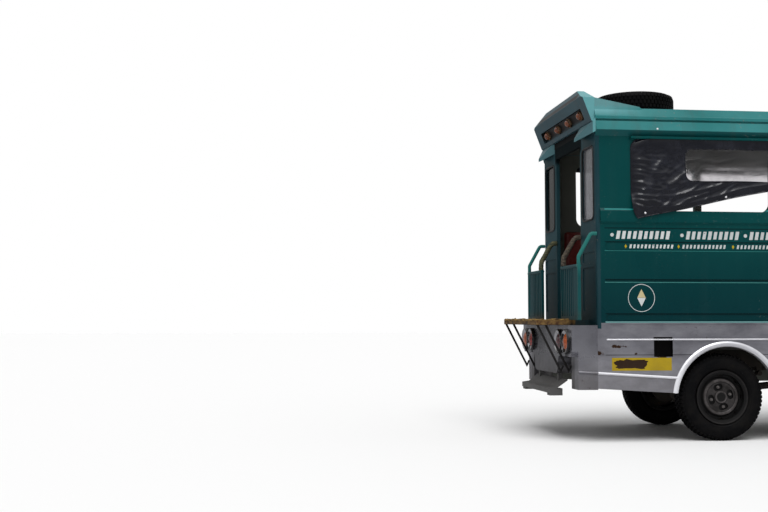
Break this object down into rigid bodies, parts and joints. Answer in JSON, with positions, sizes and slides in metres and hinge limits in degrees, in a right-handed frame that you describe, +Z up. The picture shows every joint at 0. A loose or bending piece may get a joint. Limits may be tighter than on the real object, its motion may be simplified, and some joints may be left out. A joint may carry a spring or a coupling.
{
  "type": "jeepney",
  "caption": "Long-bodied passenger jeepney with open side windows, roll-down curtains, rear entry platform between slatted guards, and a spare wheel on the roof.",
  "frame": {"origin": "on the ground under the middle of the vehicle's box", "axes": "+X forward, +Y to the vehicle's left, +Z up"},
  "size_m": [5.28, 1.91, 2.8603],
  "materials": {
    "body_green": "semi-gloss deep teal with dirt",
    "light_green": "worn light teal",
    "silver": "polished sheet, dull and scratched",
    "black_paint": "satin",
    "rust_deck": "worn and rusted",
    "dark_steel": "oily",
    "galvanised": "dull",
    "floor_sheet": "worn",
    "tyre": "dusty",
    "rim": "dirty",
    "glass": "clear",
    "vinyl": "black vinyl sheet",
    "seat_vinyl": "seat vinyl",
    "lens_red": "lens",
    "lens_amber": "lens",
    "lens_clear": "lens",
    "chrome": "polished",
    "black_plastic": "matte"
  },
  "bodies": {
    "body": {"chassis_frame": "black_paint", "leaf_springs": "dark_steel", "rear_axle": "dark_steel", "front_axle": "dark_steel", "exhaust": "dark_steel", "fuel_tank": "black_paint", "engine_block": "dark_steel", "floor": "floor_sheet", "side_wall_left": "body_green", "side_wall_right": "body_green", "rear_panel": "body_green", "window_glass": "glass", "windscreen_frame": "body_green", "cowl": "body_green", "roof": "light_green", "rear_header": "light_green", "marker_lamps": "lens_amber", "rear_platform": "rust_deck", "rear_guards": "light_green", "rear_valance": "silver", "tail_lamps": "lens_red", "rear_step": "galvanised", "spare_tyre": "tyre", "spare_wheel": "rim", "seat_frames": "body_green", "bench_pads": "seat_vinyl", "cab_pads": "seat_vinyl", "curtains": "vinyl", "front_wings": "body_green", "grille": "chrome", "headlamps": "lens_clear", "front_bumper": "silver", "mirrors": "chrome"},
    "steer_left": {"knuckle_left": "dark_steel"},
    "steer_right": {"knuckle_right": "dark_steel"},
    "track_rod": {"tie_rod": "dark_steel"},
    "rear_wheel_left": {"tyre_rear_left": "tyre", "wheel_rear_left": "rim"},
    "rear_wheel_right": {"tyre_rear_right": "tyre", "wheel_rear_right": "rim"},
    "front_wheel_left": {"tyre_front_left": "tyre", "wheel_front_left": "rim"},
    "front_wheel_right": {"tyre_front_right": "tyre", "wheel_front_right": "rim"},
    "cab_door_left": {"door_left": "body_green"},
    "cab_door_right": {"door_right": "body_green"},
    "bonnet_lid": {"bonnet": "silver"},
    "hand_wheel": {"steering_wheel": "black_plastic"}
  },
  "joints": [
    {"name": "rear_left_spin", "type": "hinge", "parent": "body", "child": "rear_wheel_left", "pos_m": [-1.19, 0.6225, 0.34], "axis": [0, 1, 0], "continuous": true},
    {"name": "rear_right_spin", "type": "hinge", "parent": "body", "child": "rear_wheel_right", "pos_m": [-1.19, -0.6225, 0.34], "axis": [0, 1, 0], "continuous": true},
    {"name": "steer_left_turn", "type": "hinge", "parent": "body", "child": "steer_left", "pos_m": [1.93, 0.495, 0.34], "axis": [0, 0, 1], "range_deg": [-28, 28]},
    {"name": "steer_right_turn", "type": "hinge", "parent": "body", "child": "steer_right", "pos_m": [1.93, -0.495, 0.34], "axis": [0, 0, 1], "range_deg": [-28, 28]},
    {"name": "front_left_spin", "type": "hinge", "parent": "steer_left", "child": "front_wheel_left", "pos_m": [1.93, 0.6225, 0.34], "axis": [0, 1, 0], "continuous": true},
    {"name": "front_right_spin", "type": "hinge", "parent": "steer_right", "child": "front_wheel_right", "pos_m": [1.93, -0.6225, 0.34], "axis": [0, 1, 0], "continuous": true},
    {"name": "track_rod_swing", "type": "hinge", "parent": "steer_left", "child": "track_rod", "pos_m": [1.78, 0.495, 0.26], "axis": [0, 0, 1], "range_deg": [-28, 28]},
    {"name": "hand_wheel_turn", "type": "hinge", "parent": "body", "child": "hand_wheel", "pos_m": [1.1, 0.35, 1.37], "axis": [-0.788, 0, 0.6157], "range_deg": [-336, 336]},
    {"name": "cab_door_left_hinge", "type": "hinge", "parent": "body", "child": "cab_door_left", "pos_m": [1.397, 0.772, 1.2], "axis": [0, 0, -1], "range_deg": [0, 75]},
    {"name": "cab_door_right_hinge", "type": "hinge", "parent": "body", "child": "cab_door_right", "pos_m": [1.397, -0.772, 1.2], "axis": [0, 0, 1], "range_deg": [0, 75]},
    {"name": "bonnet_hinge", "type": "hinge", "parent": "body", "child": "bonnet_lid", "pos_m": [1.482, 0, 1.304], "axis": [0, -1, 0], "range_deg": [0, 55]}
  ],
  "couplings": [
    {"joint": "steer_right_turn", "follows": "steer_left_turn", "ratio": 1},
    {"joint": "track_rod_swing", "follows": "steer_left_turn", "ratio": -1},
    {"joint": "hand_wheel_turn", "follows": "steer_left_turn", "ratio": 12}
  ]
}
